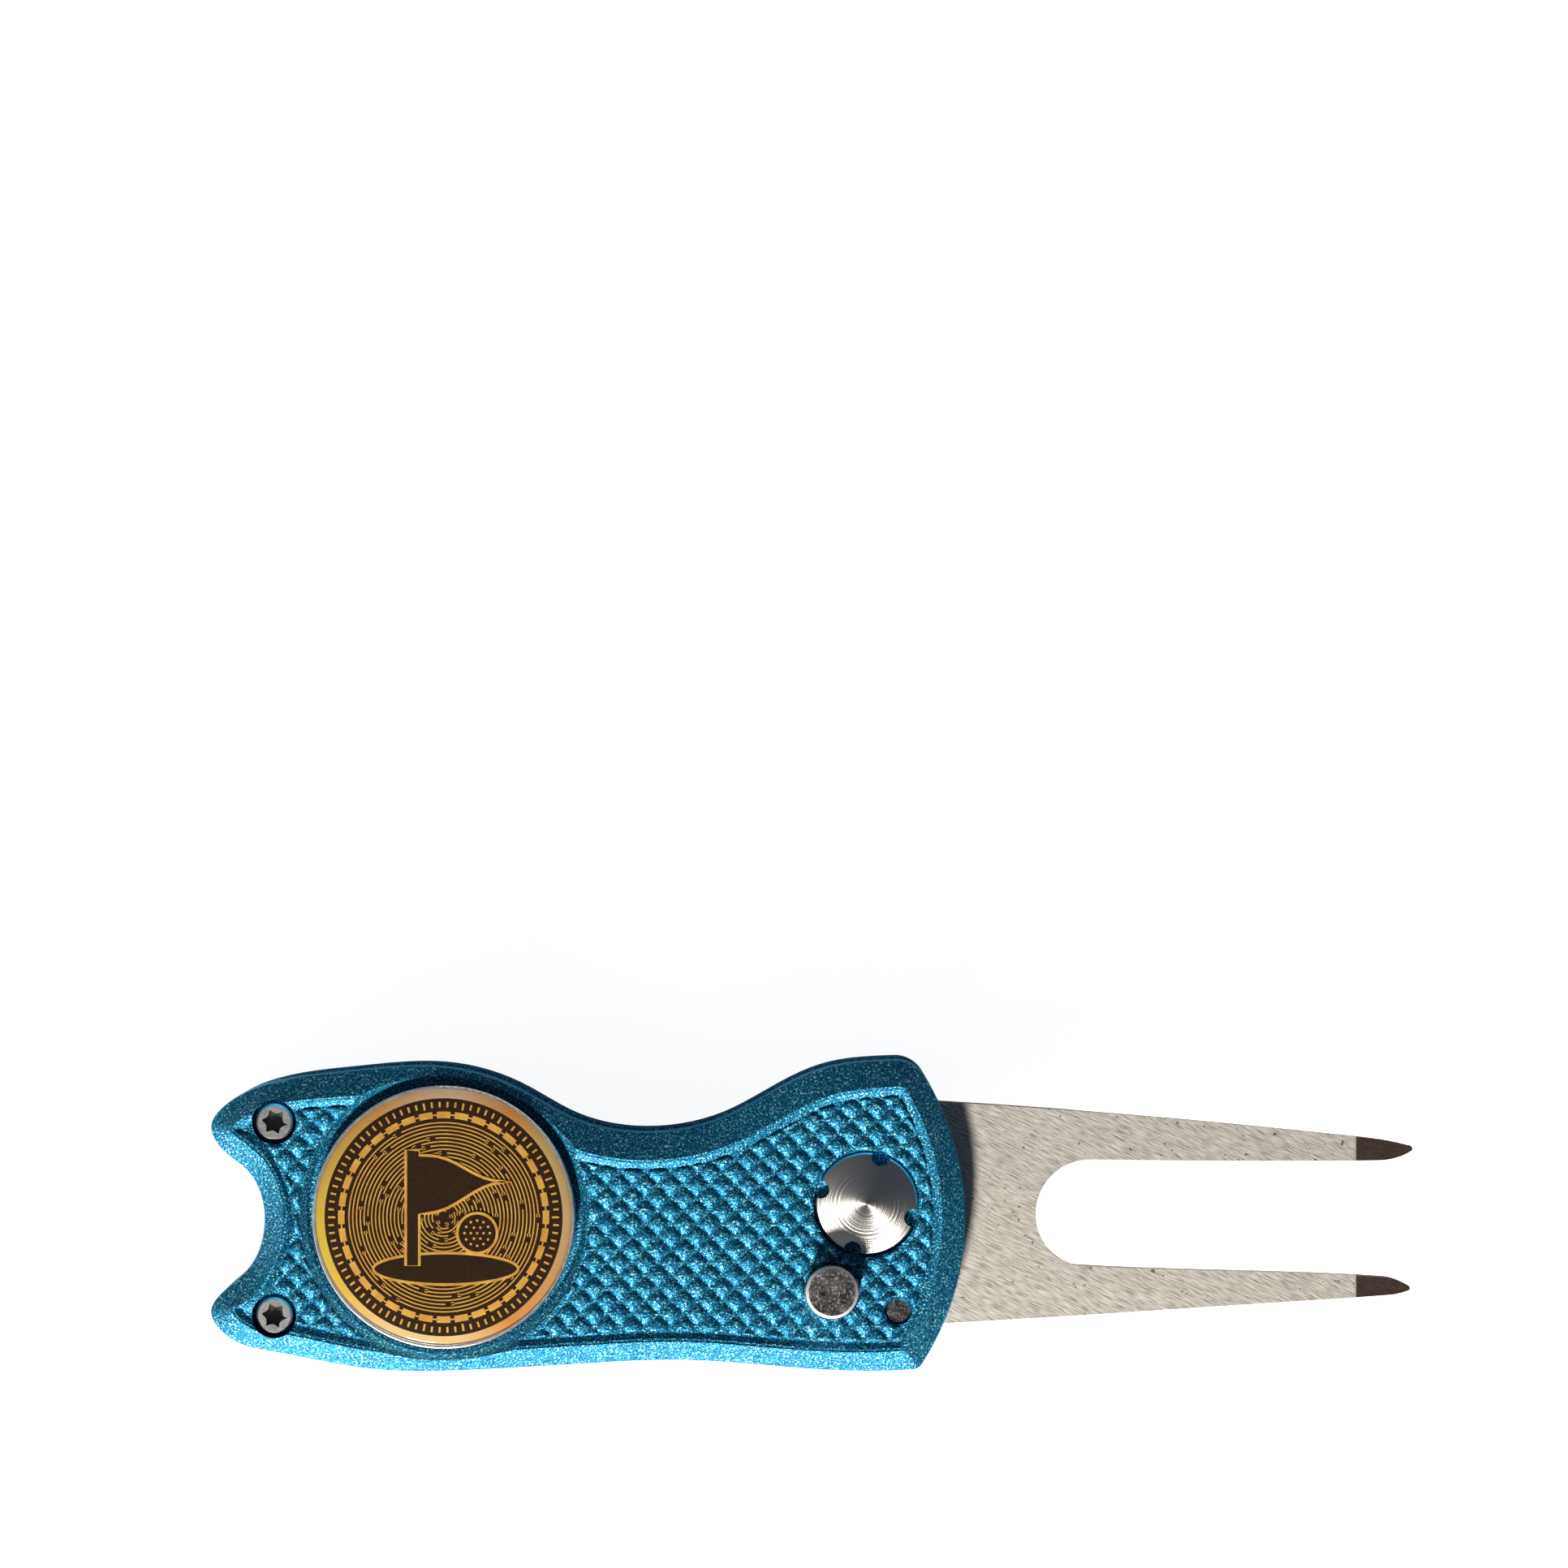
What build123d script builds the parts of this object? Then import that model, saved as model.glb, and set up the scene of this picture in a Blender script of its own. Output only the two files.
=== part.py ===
from build123d import *
import math
import os

import numpy as np

os.makedirs("parts", exist_ok=True)

# Folding divot repair tool. Millimetres, +Z up, the fork swung open along +X.
# Plan sizes are measured from the pivot axis; heights from the back of the handle.
# The finished pieces are moved by ROW_SHIFT, so that the origin is under the middle.

ROW_SHIFT = Vector(5.047, 1.15, 0)

# Handle: two scales with a gap between them.
SCALE_THICK = 3.8
GAP = 4.8
FRONT_Z = SCALE_THICK + GAP
TOP_Z = FRONT_Z + SCALE_THICK
FIELD_DEPTH = 0.45
FIELD_Z = TOP_Z - FIELD_DEPTH
FRONT_BULGE = (9.4, -0.9)
FRONT_BORDER = 2.2
UPPER_CORNER_R = 3.0
LOWER_CORNER_R = 1.1
INNER_CORNER_R = 0.12

# Handle outline from the upper front corner, round the back, to the lower front corner:
# x, y and the width of the sloping border there.
HANDLE_SIDE = [
    (4.45, 13.74, 2.5),
    (0.4, 13.61, 2.6),
    (-3.9, 12.98, 2.65),
    (-8.3, 11.1, 2.65),
    (-13.3, 8.4, 2.65),
    (-20.7, 6.83, 2.65),
    (-28.1, 8.22, 2.6),
    (-33.0, 10.9, 2.55),
    (-40.4, 13.05, 2.4),
    (-49.0, 12.68, 2.4),
    (-57.0, 11.45, 2.1),
    (-60.8, 9.65, 2.0),
    (-62.5, 7.4, 2.0),
    (-61.4, 5.1, 2.0),
    (-59.0, 3.1, 2.0),
    (-57.4, -1.4, 1.95),
    (-58.85, -6.1, 1.9),
    (-61.2, -8.25, 2.0),
    (-62.5, -10.15, 2.1),
    (-60.6, -12.9, 2.0),
    (-56.5, -14.15, 1.9),
    (-48.0, -15.7, 1.85),
    (-38.0, -15.9, 1.8),
    (-28.1, -15.35, 1.85),
    (-17.0, -14.95, 1.85),
    (-5.9, -15.75, 1.85),
    (5.0, -15.8, 1.85),
]

# Height up the outside of a scale, and how far the outline is drawn in there:
# a plain width near the walls, then the whole border at the ridge.
WALL_PROFILE = [(0.0, 0.3), (0.12, 0.09), (0.3, 0.0), (2.4, 0.0), (2.62, 0.1), (2.76, 0.34)]

# Steps down from the ridge to the field: how far inside the ridge, and how deep.
# The rear scale has a flat land to lie on instead of the first small step.
FRONT_STEPS = [(0.85, FIELD_DEPTH), (0.32, 0.1), (0.1, 0.08), (0.0, 0.0)]
REAR_STEPS = [(0.85, FIELD_DEPTH), (0.3, 0.0)]

# Ball marker, held by a magnet in a round recess with a countersunk edge.
MARKER_AT = (-40.24, -1.23)
MARKER_R = 12.5
MARKER_THICK = 2.0
MARKER_RIM = 0.3
TRAY_FOOT_R = 0.3
TRAY_LIP_R = 0.12
PRINT_THICK = 0.15
PRINT_CLEAR = 0.02
DOME_RISE = 0.35
RECESS_R = 13.1
RECESS_Z = 10.6
COUNTERSINK_DEPTH = 0.6
MAGNET_R = 5.0
MAGNET_THICK = 1.2

# Pivot, on the origin.
CAP_R = 4.86
CAP_RIM = 0.75
CAP_RISE = 0.95
CAP_EDGE = 0.14
CAP_CROWN = (2.6, 0.56)
CAP_NOTCH_R = 0.85
CAP_NOTCH_IN = 0.25
CAP_NOTCH_ANGLE = 73
CAP_SEAT_R = 5.08
CAP_SEAT_Z = 11.0
PIVOT_SCREW_R = 1.6
PIVOT_SCREW_END_Z = 3.2
PIVOT_SCREW_LEAD = 0.3
BARREL_R = 3.0
BARREL_BORE_Z = 2.6
BARREL_HEAD_R = 4.2
BARREL_HEAD_THICK = 1.2
BARREL_HEAD_Z = 0.45
BARREL_HEAD_EDGE = 0.3
BARREL_SLOT_WIDE = 1.1
BARREL_SLOT_DEEP = 0.6
THREAD_CLEAR = 0.02
RUNNING = 0.05

# Fork.
FORK_THICK = 2.0
FORK_Z = 6.22
TANG_R = 7.3
FORK_TIP_X = 52.4
SLOT_X = 21.45
SLOT_Y = -1.2
SLOT_R = 5.2
BEVEL_X = 46.8
TIP_THICK = 0.6
FOLD_ANGLE = 189.7
FAN_STEPS = 24

# Lock button, its collar under the fork and its spring in the rear scale.
BUTTON_AT = (-3.32, -8.18)
BUTTON_R = 2.5
BUTTON_TOP = 15.05
BUTTON_CHAMFER = 0.3
BUTTON_HEAD_Z = 10.5
BUTTON_NECK_R = 1.25
NECK_SWEEP_CLEAR = 0.27
COLLAR_R = 2.65
COLLAR_Z = 4.2
COLLAR_THICK = 1.8
COLLAR_EDGE = 0.15
COLLAR_CLEAR = 0.1
BUTTON_CLEAR = 0.08
LOCK_NOTCH_R = 2.75
BUTTON_POCKET_Z = 0.8
BUTTON_SPRING_R = 2.2
BUTTON_SPRING_WIRE = 0.14
BUTTON_SPRING_TURNS = 4

# Stop pin.
PIN_AT = (3.01, -10.19)
PIN_R = 1.8
PIN_END_R = 1.25
PIN_CHAMFER = 0.15
PIN_SINK = 0.25
PIN_SEAT_CLEAR = 0.1

# Rear screws, in bosses of the rear scale.
REAR_SCREWS = {"upper": (-56.4, 7.79), "lower": (-56.4, -10.65)}
SCREW_HEAD_R = 1.74
SCREW_HEAD_THICK = 1.35
SCREW_HEAD_EDGE = 0.18
SCREW_BORE_R = 2.12
SCREW_SEAT_Z = 10.4
SCREW_R = 1.0
SCREW_END_Z = 2.0
HOLE_SPARE = 0.25
SOCKET_R = 1.2
SOCKET_INNER_R = 0.84
SOCKET_TURN = -9
SOCKET_DEPTH = 1.1
BOSS_R = 2.6
BOSS_FOOT = 0.7

# Torsion spring round the barrel.
COIL_R = 4.35
COIL_WIRE = 0.28
COIL_TURNS = 2.5
COIL_Z = 4.12
COIL_PITCH = 0.6
LEG_REACH = 1.4
LEG_BEND_R = 0.5
LEG_LOW_Z = 2.2
LEG_HIGH_Z = 7.92
LEG_HOLE_R = 0.34

# Washers either side of the fork.
WASHER_THICK = 0.32
WASHER_GAP = 0.03
WASHER_FRONT_R = 5.2
WASHER_REAR_R = 3.85


def disc(radius, low, high, at=(0, 0)):
    """An upright cylinder between two heights."""
    return Pos(at[0], at[1], low) * Cylinder(
        radius, high - low, align=(Align.CENTER, Align.CENTER, Align.MIN)
    )


def side_normals():
    """Inward unit normals along the handle's side, one for each outline point."""
    points = np.array([row[:2] for row in HANDLE_SIDE])
    tangents = np.gradient(points, axis=0)
    tangents /= np.linalg.norm(tangents, axis=1)[:, None]
    return np.column_stack([-tangents[:, 1], tangents[:, 0]])


def inset_corner(corner, side_normal, side_inset, front_inset):
    """Where the side and the front edge meet after both are drawn in."""
    front_centre = front_arc_centre()
    front_normal = front_centre - corner
    front_normal /= np.linalg.norm(front_normal)
    normals = np.array([side_normal, front_normal])
    return corner + np.linalg.solve(normals, [side_inset, front_inset])


def front_arc_centre():
    """Centre of the circle through both front corners and the bulge between them."""
    upper = np.array(HANDLE_SIDE[0][:2])
    lower = np.array(HANDLE_SIDE[-1][:2])
    bulge = np.array(FRONT_BULGE)
    rows = 2 * np.array([upper - bulge, lower - bulge])
    return np.linalg.solve(rows, [upper @ upper - bulge @ bulge, lower @ lower - bulge @ bulge])


def handle_face(z, inset, border_share=0.0):
    """The handle's outline as a face, drawn in by a width plus a share of the border."""
    points = np.array([row[:2] for row in HANDLE_SIDE])
    widths = inset + border_share * np.array([row[2] for row in HANDLE_SIDE])
    normals = side_normals()
    front = inset + border_share * FRONT_BORDER
    drawn = points + normals * widths[:, None]
    drawn[0] = inset_corner(points[0], normals[0], widths[0], front)
    drawn[-1] = inset_corner(points[-1], normals[-1], widths[-1], front)
    bulge = (FRONT_BULGE[0] - front, FRONT_BULGE[1])
    with BuildSketch(Plane.XY.offset(z)) as sketch:
        with BuildLine():
            Spline([tuple(p) for p in drawn])
            ThreePointArc(tuple(drawn[-1]), bulge, tuple(drawn[0]))
        make_face()
        lower = sketch.vertices().sort_by(Axis.Y)[0]
        fillet(lower, max(LOWER_CORNER_R - front, INNER_CORNER_R))
        upper = sketch.vertices().sort_by(Axis.Y)[-1]
        fillet(upper, max(UPPER_CORNER_R - front, INNER_CORNER_R))
    return sketch.sketch.face()


def scale_blank():
    """One scale lying with its inner face at height 0 and its ridge at SCALE_THICK."""
    rings = [handle_face(z, inset) for z, inset in WALL_PROFILE]
    rings.append(handle_face(SCALE_THICK, 0.0, 1.0))
    return loft(rings, ruled=True)


def field_pocket(steps):
    """The shallow sunk field inside the ridge, as a solid to cut away."""
    return loft([handle_face(SCALE_THICK - depth, inset, 1.0) for inset, depth in steps], ruled=True)


def marker_countersink():
    """Cone that opens the marker's recess out at 45 degrees, well past the ridge."""
    height = COUNTERSINK_DEPTH + 1
    cone = Cone(RECESS_R, RECESS_R + height, height, align=(Align.CENTER, Align.CENTER, Align.MIN))
    return Pos(*MARKER_AT, FIELD_Z - COUNTERSINK_DEPTH) * cone


def make_front_scale():
    scale = Pos(0, 0, FRONT_Z) * (scale_blank() - field_pocket(FRONT_STEPS))
    scale -= marker_countersink()
    scale -= disc(RECESS_R, RECESS_Z, TOP_Z + 1, MARKER_AT)
    scale -= disc(MAGNET_R + RUNNING, RECESS_Z - MAGNET_THICK, RECESS_Z, MARKER_AT)
    scale -= disc(CAP_SEAT_R, CAP_SEAT_Z, TOP_Z + 1)
    scale -= disc(PIVOT_SCREW_R + RUNNING, FRONT_Z, CAP_SEAT_Z)
    scale -= disc(BUTTON_R + BUTTON_CLEAR, FRONT_Z, TOP_Z + 1, BUTTON_AT)
    scale -= disc(PIN_END_R + RUNNING, FRONT_Z, TOP_Z + 1, PIN_AT)
    for at in REAR_SCREWS.values():
        scale -= disc(SCREW_BORE_R, SCREW_SEAT_Z, TOP_Z + 1, at)
        scale -= disc(SCREW_R + RUNNING, FRONT_Z, SCREW_SEAT_Z, at)
    return scale


def rear_boss(at):
    """Round boss that carries a rear screw and keeps the scales apart."""
    foot = Pos(at[0], at[1], SCALE_THICK) * Cone(
        BOSS_R + BOSS_FOOT, BOSS_R, BOSS_FOOT, align=(Align.CENTER, Align.CENTER, Align.MIN)
    )
    return disc(BOSS_R, SCALE_THICK - 1, FRONT_Z, at) + foot


def make_rear_scale():
    scale = Pos(0, 0, SCALE_THICK) * mirror(scale_blank() - field_pocket(REAR_STEPS), Plane.XY)
    for at in REAR_SCREWS.values():
        scale += rear_boss(at)
    for at in REAR_SCREWS.values():
        scale -= disc(SCREW_R + RUNNING, SCREW_END_Z - HOLE_SPARE, FRONT_Z, at)
    scale -= disc(BARREL_HEAD_R + RUNNING, 0, BARREL_HEAD_Z + BARREL_HEAD_THICK)
    scale -= disc(BARREL_R + RUNNING, 0, SCALE_THICK)
    scale -= disc(COLLAR_R + COLLAR_CLEAR, BUTTON_POCKET_Z, SCALE_THICK, BUTTON_AT)
    scale -= disc(PIN_END_R + RUNNING, 0, SCALE_THICK, PIN_AT)
    leg = spring_path() @ 0
    scale -= disc(LEG_HOLE_R, LEG_LOW_Z - HOLE_SPARE, SCALE_THICK, (leg.X, leg.Y))
    return scale


def make_pivot_screw():
    """Capped screw: a shallow cone with four grip notches over a plain shank."""
    rim_z = CAP_SEAT_Z + CAP_RIM
    crown = (CAP_CROWN[0], rim_z + CAP_CROWN[1] * CAP_RISE)
    with BuildPart() as screw:
        with BuildSketch(Plane.XZ):
            with BuildLine():
                Polyline(
                    (0, rim_z + CAP_RISE),
                    (0, PIVOT_SCREW_END_Z),
                    (PIVOT_SCREW_R - PIVOT_SCREW_LEAD, PIVOT_SCREW_END_Z),
                    (PIVOT_SCREW_R, PIVOT_SCREW_END_Z + PIVOT_SCREW_LEAD),
                    (PIVOT_SCREW_R, CAP_SEAT_Z),
                    (CAP_R, CAP_SEAT_Z),
                    (CAP_R, rim_z - CAP_EDGE),
                    (CAP_R - CAP_EDGE, rim_z),
                )
                Spline((CAP_R - CAP_EDGE, rim_z), crown, (0, rim_z + CAP_RISE),
                       tangents=[(-1, 0.3), (-1, 0.06)])
            make_face()
        revolve(axis=Axis.Z)
    cap = screw.part
    notch_at = (CAP_R - CAP_NOTCH_IN, 0)
    mouth = Pos(*notch_at, CAP_SEAT_Z) * Box(
        CAP_NOTCH_R, 2 * CAP_NOTCH_R, CAP_RIM + CAP_RISE,
        align=(Align.MIN, Align.CENTER, Align.MIN),
    )
    notch = disc(CAP_NOTCH_R, CAP_SEAT_Z, CAP_SEAT_Z + CAP_RIM + CAP_RISE, notch_at) + mouth
    for turn in range(4):
        cap -= Rot(0, 0, CAP_NOTCH_ANGLE + 90 * turn) * notch
    return cap


def make_pivot_barrel():
    """Sleeve from the back: the fork turns on it and the capped screw threads into it."""
    head = disc(BARREL_HEAD_R, BARREL_HEAD_Z, BARREL_HEAD_Z + BARREL_HEAD_THICK)
    head = chamfer(head.edges().group_by(Axis.Z)[0], BARREL_HEAD_EDGE)
    barrel = head + disc(BARREL_R, BARREL_HEAD_Z, FRONT_Z)
    barrel -= disc(PIVOT_SCREW_R + THREAD_CLEAR, BARREL_BORE_Z, FRONT_Z)
    slot = Box(2 * BARREL_HEAD_R + 1, BARREL_SLOT_WIDE, 2 * BARREL_SLOT_DEEP)
    return barrel - Pos(0, 0, BARREL_HEAD_Z) * slot


def make_washer(outer, low):
    return disc(outer, low, low + WASHER_THICK) - disc(BARREL_R + RUNNING, low, low + WASHER_THICK)


def along(radius, low, high, at, angle):
    """Ring stretch swept round the pivot by a round piece as the fork turns past it."""
    start = math.degrees(math.atan2(at[1], at[0]))
    distance = math.hypot(*at)
    ring = disc(distance + radius, low, high) - disc(distance - radius, low, high)
    reach = 1.5 * (distance + radius)
    fan = [(0, 0)]
    for k in range(FAN_STEPS + 1):
        turn = math.radians(start - angle * k / FAN_STEPS)
        fan.append((reach * math.cos(turn), reach * math.sin(turn)))
    wedge = extrude(Plane.XY.offset(low) * make_face(Polyline(*fan, close=True)), high - low)
    return ring & wedge


def fork_outline():
    """The fork seen from above, before the cuts round the pivot."""
    slot_start = (SLOT_X, SLOT_Y + SLOT_R)
    slot_back = (SLOT_X - SLOT_R, SLOT_Y)
    slot_end = (SLOT_X - 1.6, SLOT_Y - 4.95)
    with BuildSketch(Plane.XY.offset(FORK_Z)) as sketch:
        with BuildLine():
            Polyline((2.0, -7.0), (2.0, 6.0), (5.3, 9.7), (7.0, 9.55))
            Spline((7.0, 9.55), (18.1, 8.8), (33.6, 7.5), (46.6, 6.2), (50.2, 5.73), (52.05, 5.3))
            ThreePointArc((52.05, 5.3), (52.37, 5.15), (52.35, 4.8))
            Spline((52.35, 4.8), (51.73, 4.46), (50.76, 4.11), (49.2, 3.9))
            Spline((49.2, 3.9), (33.6, 3.87), slot_start)
            ThreePointArc(slot_start, slot_back, slot_end)
            Spline(slot_end, (33.6, -6.68), (46.8, -7.12), (49.4, -7.27))
            Spline((49.4, -7.27), (50.62, -7.49), (51.6, -7.9), (52.05, -8.15))
            ThreePointArc((52.05, -8.15), (52.17, -8.4), (52.0, -8.62))
            ThreePointArc((52.0, -8.62), (51.2, -8.865), (50.2, -9.02))
            Polyline((50.2, -9.02), (18.1, -11.1), (7.7, -11.7), (3.0, -11.9), (2.0, -7.0))
        make_face()
    return sketch.sketch.face()


def make_fork():
    low, high = FORK_Z, FORK_Z + FORK_THICK
    fork = extrude(fork_outline(), FORK_THICK) + disc(TANG_R, low, high)
    fork -= along(PIN_R + PIN_SEAT_CLEAR, low, high, PIN_AT, FOLD_ANGLE)
    fork -= disc(PIN_R + PIN_SEAT_CLEAR, low, high, PIN_AT)
    fork -= along(BUTTON_NECK_R + NECK_SWEEP_CLEAR, low, high, BUTTON_AT, FOLD_ANGLE)
    closed_at = Vector(*BUTTON_AT, 0).rotate(Axis.Z, -FOLD_ANGLE)
    for at in (BUTTON_AT, (closed_at.X, closed_at.Y)):
        fork -= disc(LOCK_NOTCH_R, low, high, at)
    fork -= disc(BARREL_R + RUNNING, low, high)
    leg = spring_path() @ 1
    fork -= disc(LEG_HOLE_R, low, high, (leg.X, leg.Y))
    length = FORK_TIP_X + 1 - BEVEL_X
    drop = (FORK_THICK - TIP_THICK) / 2
    wedge = make_face(Polyline((0, 0), (length, -drop), (length, 1), (0, 1), close=True))
    wedge = extrude(Plane.XZ * wedge, 2 * TANG_R, both=True)
    fork -= Pos(BEVEL_X, 0, high) * wedge
    fork -= Pos(BEVEL_X, 0, low) * mirror(wedge, Plane.XY)
    return fork


def spring_path():
    """Centre line of the torsion spring: a leg down, the coil, and a leg up."""
    height = COIL_PITCH * COIL_TURNS
    coil = Pos(0, 0, COIL_Z) * Helix(COIL_PITCH, height, COIL_R)
    start, end = coil @ 0, coil @ 1
    low_corner = start - (coil % 0) * LEG_REACH
    high_corner = end + (coil % 1) * LEG_REACH
    low_end = Vector(low_corner.X, low_corner.Y, LEG_LOW_Z)
    high_end = Vector(high_corner.X, high_corner.Y, LEG_HIGH_Z)
    lower = FilletPolyline(low_end, low_corner, start, radius=LEG_BEND_R)
    upper = FilletPolyline(end, high_corner, high_end, radius=LEG_BEND_R)
    return Wire([*lower.edges(), *coil.edges(), *upper.edges()])


def make_torsion_spring():
    """Coil with one leg down in the rear scale and one leg up in the fork."""
    path = spring_path()
    return sweep(Plane(path @ 0, z_dir=path % 0) * Circle(COIL_WIRE), path=path)


def make_button():
    top = disc(BUTTON_R, BUTTON_HEAD_Z, BUTTON_TOP, BUTTON_AT)
    top = chamfer(top.edges().group_by(Axis.Z)[-1], BUTTON_CHAMFER)
    neck = disc(BUTTON_NECK_R, COLLAR_Z, BUTTON_HEAD_Z, BUTTON_AT)
    collar = disc(COLLAR_R, COLLAR_Z, COLLAR_Z + COLLAR_THICK, BUTTON_AT)
    collar = chamfer(collar.edges().filter_by(GeomType.CIRCLE), COLLAR_EDGE)
    return top + neck + collar


def make_button_spring():
    wire = BUTTON_SPRING_WIRE
    low = BUTTON_POCKET_Z + wire
    height = COLLAR_Z - wire - low
    path = Helix(height / BUTTON_SPRING_TURNS, height, BUTTON_SPRING_R)
    section = Plane(path @ 0, z_dir=path % 0) * Circle(wire)
    return Pos(BUTTON_AT[0], BUTTON_AT[1], low) * sweep(section, path=path)


def make_stop_pin():
    top = FIELD_Z - PIN_SINK
    bottom = FIELD_DEPTH + PIN_SINK
    ends = disc(PIN_END_R, bottom, top, PIN_AT)
    ends = chamfer(ends.edges().filter_by(GeomType.CIRCLE), PIN_CHAMFER)
    return ends + disc(PIN_R, SCALE_THICK, FRONT_Z, PIN_AT)


def socket_star(at, top):
    """Six-lobed socket, as a solid to cut away."""
    points = []
    for k in range(12):
        radius = SOCKET_R if k % 2 == 0 else SOCKET_INNER_R
        angle = math.radians(30 * k + SOCKET_TURN)
        points.append((radius * math.cos(angle), radius * math.sin(angle)))
    star = make_face(Spline(*points, periodic=True))
    return Pos(at[0], at[1], top - SOCKET_DEPTH) * extrude(star, SOCKET_DEPTH + 0.5)


def make_rear_screw(at):
    top = SCREW_SEAT_Z + SCREW_HEAD_THICK
    head = disc(SCREW_HEAD_R, SCREW_SEAT_Z, top, at)
    head = chamfer(head.edges().group_by(Axis.Z)[-1], SCREW_HEAD_EDGE)
    return head + disc(SCREW_R, SCREW_END_Z, SCREW_SEAT_Z, at) - socket_star(at, top)


def make_marker_tray():
    """Steel disc with a raised rim round the printed face."""
    top = RECESS_Z + MARKER_THICK
    tray = disc(MARKER_R, RECESS_Z, top, MARKER_AT)
    tray = fillet(tray.edges().group_by(Axis.Z)[0], TRAY_FOOT_R)
    tray = fillet(tray.edges().group_by(Axis.Z)[-1], TRAY_LIP_R)
    return tray - disc(MARKER_R - MARKER_RIM, top - 2 * PRINT_THICK, top + 1, MARKER_AT)


def make_marker_print():
    low = RECESS_Z + MARKER_THICK - 2 * PRINT_THICK
    return disc(MARKER_R - MARKER_RIM - PRINT_CLEAR, low, low + PRINT_THICK, MARKER_AT)


def make_marker_dome():
    """Clear resin lens over the printed face."""
    low = RECESS_Z + MARKER_THICK - PRINT_THICK
    radius = MARKER_R - MARKER_RIM - PRINT_CLEAR
    with BuildPart() as dome:
        with BuildSketch(Plane.XZ):
            with BuildLine():
                Polyline((radius, PRINT_THICK), (radius, 0), (0, 0), (0, PRINT_THICK + DOME_RISE))
                Spline((0, PRINT_THICK + DOME_RISE), (radius, PRINT_THICK),
                       tangents=[(1, 0), (0.5, -1)], tangent_scalars=[1.2, 0.25])
            make_face()
        revolve(axis=Axis.Z)
    return Pos(MARKER_AT[0], MARKER_AT[1], low) * dome.part


def make_marker_magnet():
    return disc(MAGNET_R, RECESS_Z - MAGNET_THICK, RECESS_Z, MARKER_AT)


def build_parts():
    nodes = {
        "front_scale": make_front_scale(),
        "rear_scale": make_rear_scale(),
        "fork": make_fork(),
        "pivot_screw": make_pivot_screw(),
        "pivot_barrel": make_pivot_barrel(),
        "washer_front": make_washer(WASHER_FRONT_R, FORK_Z + FORK_THICK + WASHER_GAP),
        "washer_rear": make_washer(WASHER_REAR_R, FORK_Z - WASHER_THICK - WASHER_GAP),
        "torsion_spring": make_torsion_spring(),
        "lock_button": make_button(),
        "button_spring": make_button_spring(),
        "stop_pin": make_stop_pin(),
        "marker_tray": make_marker_tray(),
        "marker_print": make_marker_print(),
        "marker_dome": make_marker_dome(),
        "marker_magnet": make_marker_magnet(),
    }
    for name, at in REAR_SCREWS.items():
        nodes[f"rear_screw_{name}"] = make_rear_screw(at)
    return nodes


for name, solid in build_parts().items():
    piece = Pos(*ROW_SHIFT) * solid
    piece.label = name
    export_step(piece, f"parts/{name}.step")
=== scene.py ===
import math

import bmesh
import bpy
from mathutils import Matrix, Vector
from mathutils.bvhtree import BVHTree


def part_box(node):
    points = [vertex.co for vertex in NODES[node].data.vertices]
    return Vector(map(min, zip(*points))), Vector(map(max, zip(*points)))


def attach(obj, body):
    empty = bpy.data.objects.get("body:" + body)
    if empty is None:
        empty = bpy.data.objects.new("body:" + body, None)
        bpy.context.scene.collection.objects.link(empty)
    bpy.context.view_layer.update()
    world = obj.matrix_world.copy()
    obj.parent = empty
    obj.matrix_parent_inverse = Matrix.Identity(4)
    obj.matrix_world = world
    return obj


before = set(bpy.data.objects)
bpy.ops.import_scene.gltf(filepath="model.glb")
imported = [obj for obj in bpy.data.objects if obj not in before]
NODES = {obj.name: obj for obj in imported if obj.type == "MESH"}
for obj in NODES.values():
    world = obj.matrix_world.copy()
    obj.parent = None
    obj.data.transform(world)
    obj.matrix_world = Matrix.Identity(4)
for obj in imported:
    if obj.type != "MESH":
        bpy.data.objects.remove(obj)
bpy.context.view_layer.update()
MM = 0.001


def middle(node):
    """Middle of a CAD node's box, in metres."""
    low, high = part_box(node)
    return (low + high) / 2


PIVOT = middle("pivot_barrel")
MARKER = middle("marker_tray")
BUTTON = middle("lock_button")

# ---------------------------------------------------------------- camera and light

VIEW_WIDTH = 149.07 * MM
LENS = 135.0
SENSOR = 36.0
CLIP_NEAR, CLIP_FAR = 0.01, 20
VIEW_CENTRE = (PIVOT.x - 7.87 * MM, PIVOT.y + 39.97 * MM)
VIEW_PLANE_Z = 12.6 * MM

GLOW_DIRECTION = (-0.84, -0.40, -0.37)
GLOW_START, GLOW_FULL = 0.60, 0.92
ROOM_COLOUR = (0.034, 0.042, 0.057, 1)
GLOW_COLOUR = (1.0, 1.0, 1.0, 1)
WORLD_STRENGTH = 1.10

FLOOR_HALF = 3.0
FLOOR_COLOUR = (0.86, 0.86, 0.86, 1)
FLOOR_SEEN_GLOW = 0.92

KEY_AZIMUTH, KEY_ELEVATION = math.radians(-107), math.radians(36)
KEY_REACH = 0.9
KEY_SIZE = (0.15, 0.12)
KEY_POWER = 16.5
KEY_COLOUR = (1.0, 0.98, 0.95)
KEY_TARGET = (0, 0, 0.01)


def make_camera():
    """Looks straight down; the tool lies low in the picture."""
    data = bpy.data.cameras.new("camera")
    data.lens = LENS
    data.sensor_width = SENSOR
    distance = VIEW_WIDTH * LENS / SENSOR
    data.clip_start, data.clip_end = CLIP_NEAR, CLIP_FAR
    camera = bpy.data.objects.new("camera", data)
    camera.location = (*VIEW_CENTRE, VIEW_PLANE_Z + distance)
    bpy.context.scene.collection.objects.link(camera)
    bpy.context.scene.camera = camera
    bpy.context.scene.view_settings.view_transform = "Standard"


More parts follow.
